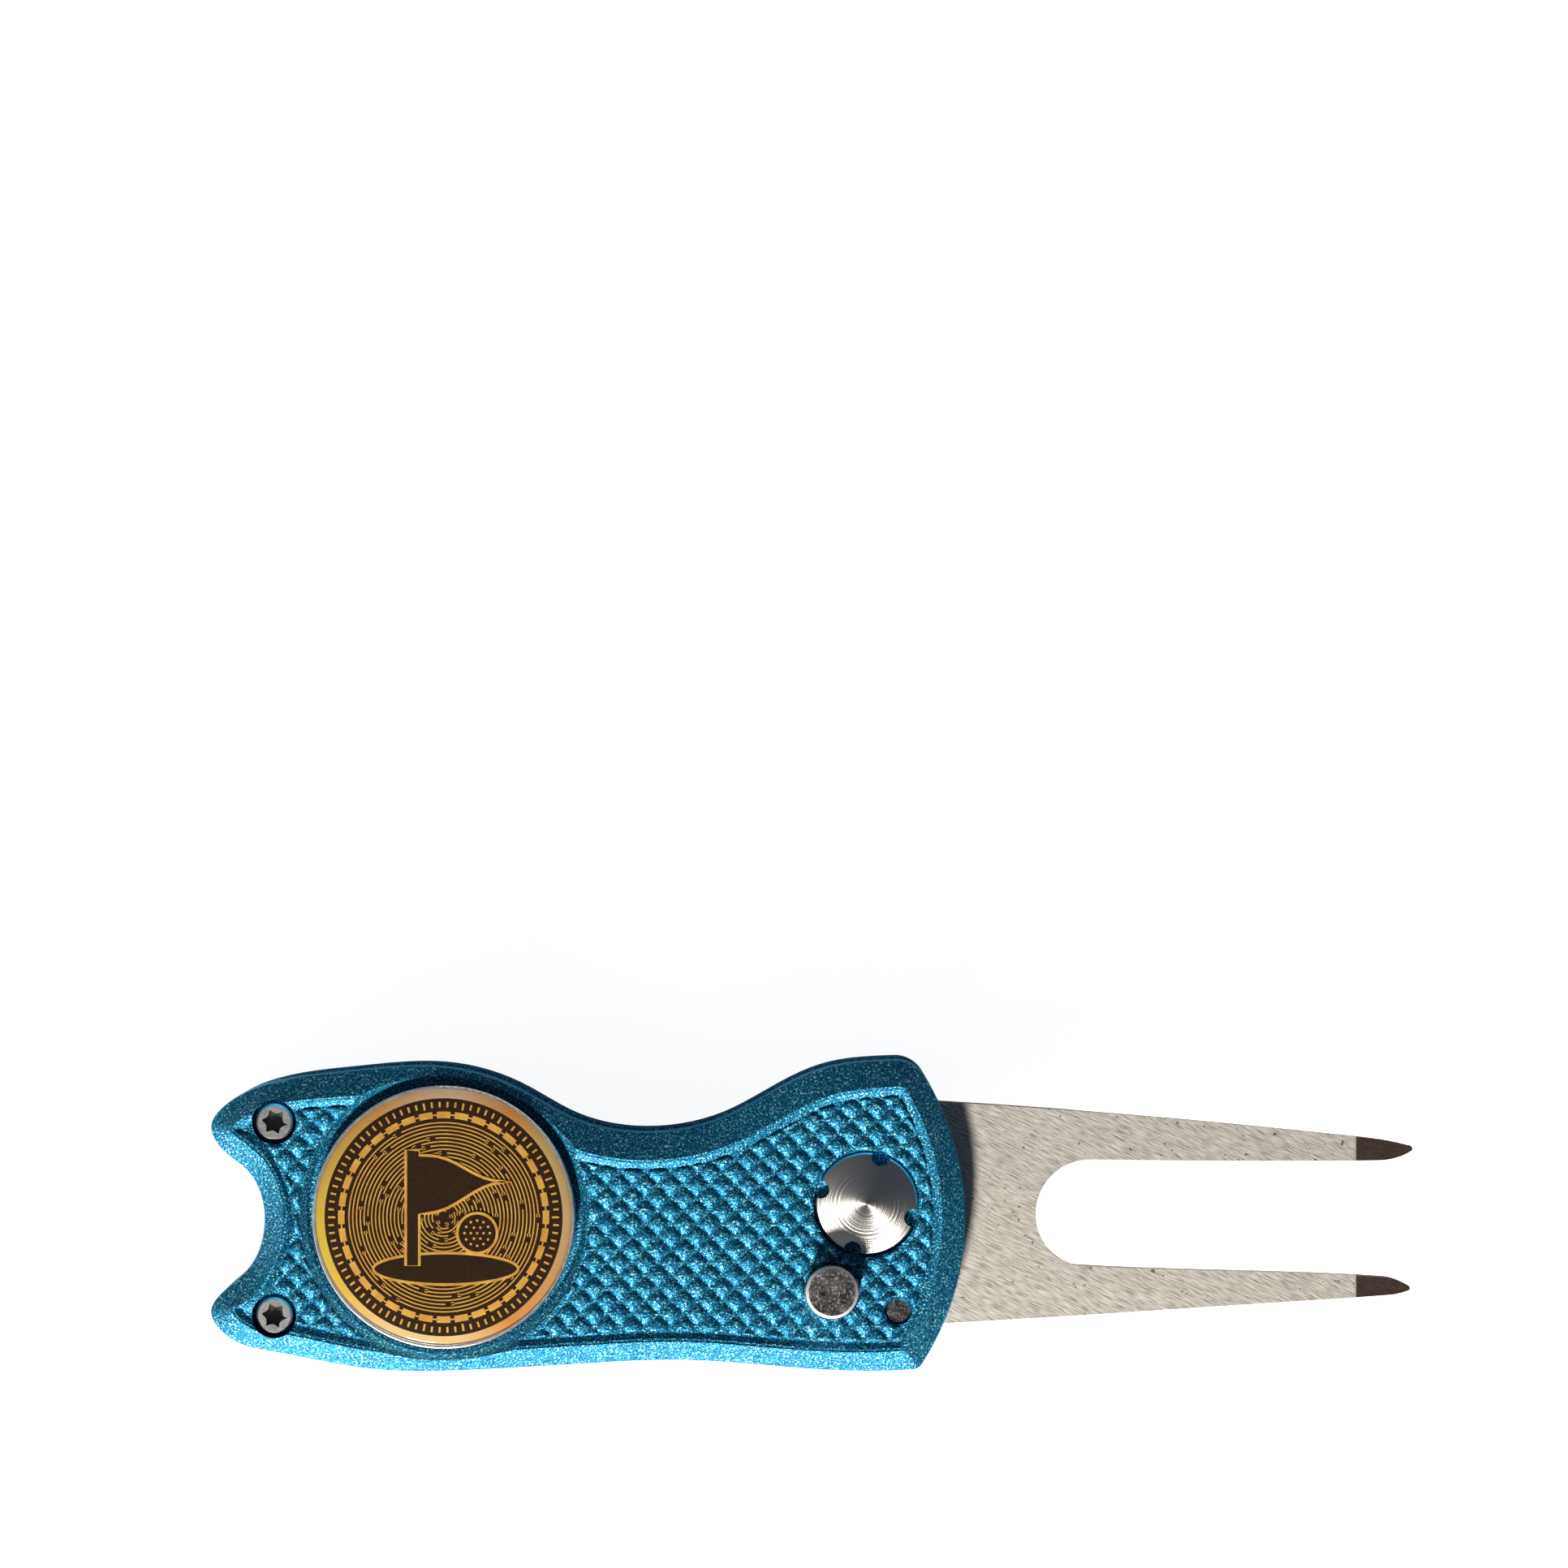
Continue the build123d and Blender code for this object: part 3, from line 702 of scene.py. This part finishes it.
EMBLEM_LEVEL = 1.6
EMBLEM_LINE = 0.26 * MM
GREEN_MM, GREEN_RADII_MM = (0.2, -4.9), (6.9, 1.5)
BALL_MM, BALL_RADIUS_MM, BALL_SIDES = (3.2, -1.5), 1.9, 36
DIMPLE_RINGS = ((0.0, 1), (0.6, 6), (1.2, 12))
DIMPLE_RADIUS_MM, DIMPLE_SIDES = 0.13, 8
DIMPLE_LOW, DIMPLE_HIGH = INK * 4, INK * 5.4
CLOTH_WAVE_MM, CLOTH_STEPS = -0.4, 10


def add_ribbon(mesh, points, width, closed=False, top=INK):
    """A flat raised line of even width along points in the plane of the print."""
    count = len(points)
    rings = []
    for k, point in enumerate(points):
        before = points[k - 1] if closed or k else points[k]
        after = points[(k + 1) % count] if closed or k < count - 1 else points[k]
        along = (Vector(after) - Vector(before)).normalized()
        side = Vector((-along.y, along.x)) * width / 2
        left, right = Vector(point) + side, Vector(point) - side
        rings.append([
            mesh.verts.new((x, y, PRINT_Z + z))
            for (x, y), z in ((left, -INK / 2), (right, -INK / 2), (right, top), (left, top))
        ])
    following = rings[1:] + rings[:1] if closed else rings[1:]
    for first, second in zip(rings, following):
        for k in range(4):
            mesh.faces.new([first[k], first[(k + 1) % 4], second[(k + 1) % 4], second[k]])
    if not closed:
        mesh.faces.new(list(reversed(rings[0])))
        mesh.faces.new(rings[-1])


def polar(radius, angle):
    return (MARKER.x + radius * math.cos(angle), MARKER.y + radius * math.sin(angle))


def arc(radius, start, end):
    count = max(2, int(abs(end - start) / ARC_STEP) + 1)
    return [polar(radius, start + (end - start) * k / count) for k in range(count + 1)]


def add_plate(mesh, points, low, high):
    """A flat plate between two heights over the print, with the points as its outline."""
    bottom = [mesh.verts.new((x, y, PRINT_Z + low)) for x, y in points]
    top = [mesh.verts.new((x, y, PRINT_Z + high)) for x, y in points]
    mesh.faces.new(top)
    mesh.faces.new(list(reversed(bottom)))
    for k in range(len(points)):
        j = (k + 1) % len(points)
        mesh.faces.new([bottom[k], bottom[j], top[j], top[k]])


def on_marker(points):
    """Places given in millimetres from the marker's middle, in the frame's metres."""
    return [(MARKER.x + x * MM, MARKER.y + y * MM) for x, y in points]


def oval(x, y, across, along, count=48):
    turns = [math.tau * k / count for k in range(count)]
    return [(x + across * math.cos(t), y + along * math.sin(t)) for t in turns]


def pennant_edge(start, end):
    """A waving edge of the flag's cloth, from one corner to another."""
    points = []
    for k in range(CLOTH_STEPS + 1):
        share = k / CLOTH_STEPS
        wave = CLOTH_WAVE_MM * math.sin(math.tau * share)
        x = start[0] + (end[0] - start[0]) * share
        y = start[1] + (end[1] - start[1]) * share + wave
        points.append((x, y))
    return points


def emblem_shapes():
    """A golf flag, its green and a ball: the plain sign in the middle of the marker."""
    pole_left, pole_right, pole_top, pole_foot = -3.6, -2.3, 6.4, -4.6
    tip = (6.4, 3.4)
    cloth_top, cloth_foot = (pole_right, 5.9), (pole_right, 0.3)
    flag = [(pole_left, pole_top), (pole_left, pole_foot), (pole_right, pole_foot)]
    flag += pennant_edge(cloth_foot, tip)
    flag += pennant_edge(tip, cloth_top)[1:]
    flag += [(pole_right, pole_top)]
    green = oval(*GREEN_MM, *GREEN_RADII_MM)
    ball = oval(*BALL_MM, BALL_RADIUS_MM, BALL_RADIUS_MM, BALL_SIDES)
    return [green, flag, ball]


def finish_print(name, mesh, material):
    data = bpy.data.meshes.new(name)
    bmesh.ops.recalc_face_normals(mesh, faces=mesh.faces)
    mesh.to_mesh(data)
    mesh.free()
    make_piece(name, data, material, "marker", smooth=False)


def make_emblem(gold):
    """Dark plates with gold outlines, each a little higher than the one it covers."""
    dark, outline = bmesh.new(), bmesh.new()
    for level, shape in enumerate(emblem_shapes(), 1):
        points = on_marker(shape)
        height = level * INK * EMBLEM_LEVEL
        add_plate(dark, points, 0, height)
        add_ribbon(outline, points, EMBLEM_LINE, True, height + INK * 0.5)
    for ring, count in DIMPLE_RINGS:
        for k in range(count):
            angle = math.tau * k / count
            x, y = BALL_MM[0] + ring * math.cos(angle), BALL_MM[1] + ring * math.sin(angle)
            dimple = oval(x, y, DIMPLE_RADIUS_MM, DIMPLE_RADIUS_MM, DIMPLE_SIDES)
            add_plate(outline, on_marker(dimple), DIMPLE_LOW, DIMPLE_HIGH)
    finish_print("marker_emblem", dark, print_brown("emblem_brown"))
    finish_print("marker_emblem_outline", outline, gold)


def rim_circle(radius):
    return [polar(radius, math.tau * k / RIM_SIDES) for k in range(RIM_SIDES)]


def add_dashes(mesh):
    """Broad dashes joined by a thin line, in place of lettering."""
    for k in range(DASHES):
        angle = math.tau * k / DASHES
        dash_end, next_dash = angle + DASH_HALF, angle + DASH_TURN - DASH_HALF
        add_ribbon(mesh, arc(DASH_RADIUS, angle - DASH_HALF, dash_end), DASH_WIDTH)
        add_ribbon(mesh, arc(DASH_RADIUS, dash_end, next_dash), DASH_LINK_WIDTH)


def add_ticks(mesh):
    """Short spokes outside the dashes, every few of them a little longer."""
    for k in range(TICKS):
        angle = math.tau * k / TICKS
        start = TICK_START if k % TICKS_PER_LONG else LONG_TICK_START
        add_ribbon(mesh, [polar(start, angle), polar(TICK_END, angle)], TICK_WIDTH)


def add_swirl(mesh):
    """Broken rings under the emblem, each part with a broader head."""
    for k in range(SWIRL_RINGS):
        radius = (SWIRL_OUTER_MM - SWIRL_STEP_MM * k) * MM
        parts = 3 + k % 3
        for part in range(parts):
            start = math.radians(GOLDEN_ANGLE) * k + math.tau * part / parts
            end = start + math.tau / parts - SWIRL_GAP / radius
            add_ribbon(mesh, arc(radius, start, end), SWIRL_WIDTH)
            add_ribbon(mesh, arc(radius, start, start + SWIRL_HEAD / radius), SWIRL_HEAD_WIDTH)


def make_marker_print(gold):
    """The brown ground, the gold rim, and the gold lines between it and the emblem."""
    ground = bmesh.new()
    add_plate(ground, rim_circle(GROUND_RADIUS), -INK / 2, INK / 3)
    finish_print("marker_ground", ground, print_brown("ground_brown"))
    rim = bmesh.new()
    add_ribbon(rim, rim_circle(RIM_RADIUS), RIM_WIDTH, True)
    finish_print("marker_gold_rim", rim, rim_gold())
    lines = bmesh.new()
    add_dashes(lines)
    add_ticks(lines)
    add_swirl(lines)
    finish_print("marker_gold_print", lines, gold)


# ---------------------------------------------------------------- making it all

make_camera()
make_world()
make_key_light()
make_floor()

BLUE = blue_alloy()
dress(BLUE, "front_scale", "rear_scale")
dress(fork_steel(), "fork")
dress(turned_steel(PIVOT, (0.97, 0.90, 0.82), 0.34), "pivot_screw", "pivot_barrel")
CHAMFER = (2.22 * MM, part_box("lock_button")[1].z - 0.3 * MM)
BUTTON_TONES = ((0.11, 0.10, 0.09), (0.44, 0.41, 0.37))
PIN_TONES = ((0.17, 0.16, 0.145), (0.62, 0.58, 0.53))
dress(worn_steel("button_steel", *BUTTON_TONES, 0.30, BUTTON, CHAMFER), "lock_button")
dress(worn_steel("pin_steel", *PIN_TONES, 0.26), "stop_pin")
dress(screw_steel(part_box("rear_screw_upper")[1].z), "rear_screw_upper", "rear_screw_lower")
dress(plain_metal("spring_steel", (0.36, 0.36, 0.37), 0.28), "torsion_spring", "button_spring")
dress(plain_metal("marker_steel", (0.90, 0.86, 0.78), 0.36), "marker_tray")
dress(plain_metal("magnet_nickel", (0.6, 0.6, 0.58), 0.2), "marker_magnet")
dress(plastic_dark_as_shade(), "washer_front", "washer_rear")
dress(print_brown(), "marker_print")
dress(clear_resin(), "marker_dome")

FIELD_FRONT_Z, CELLS_FRONT = 11.95 * MM, 12
FIELD_REAR_Z, CELLS_REAR = 0.45 * MM, 8
make_knurl("knurl_front", "front_scale", FIELD_FRONT_Z, 1, CELLS_FRONT)
make_knurl("knurl_rear", "rear_scale", FIELD_REAR_Z, -1, CELLS_REAR)
GOLD = print_gold()
make_marker_print(GOLD)
make_emblem(GOLD)
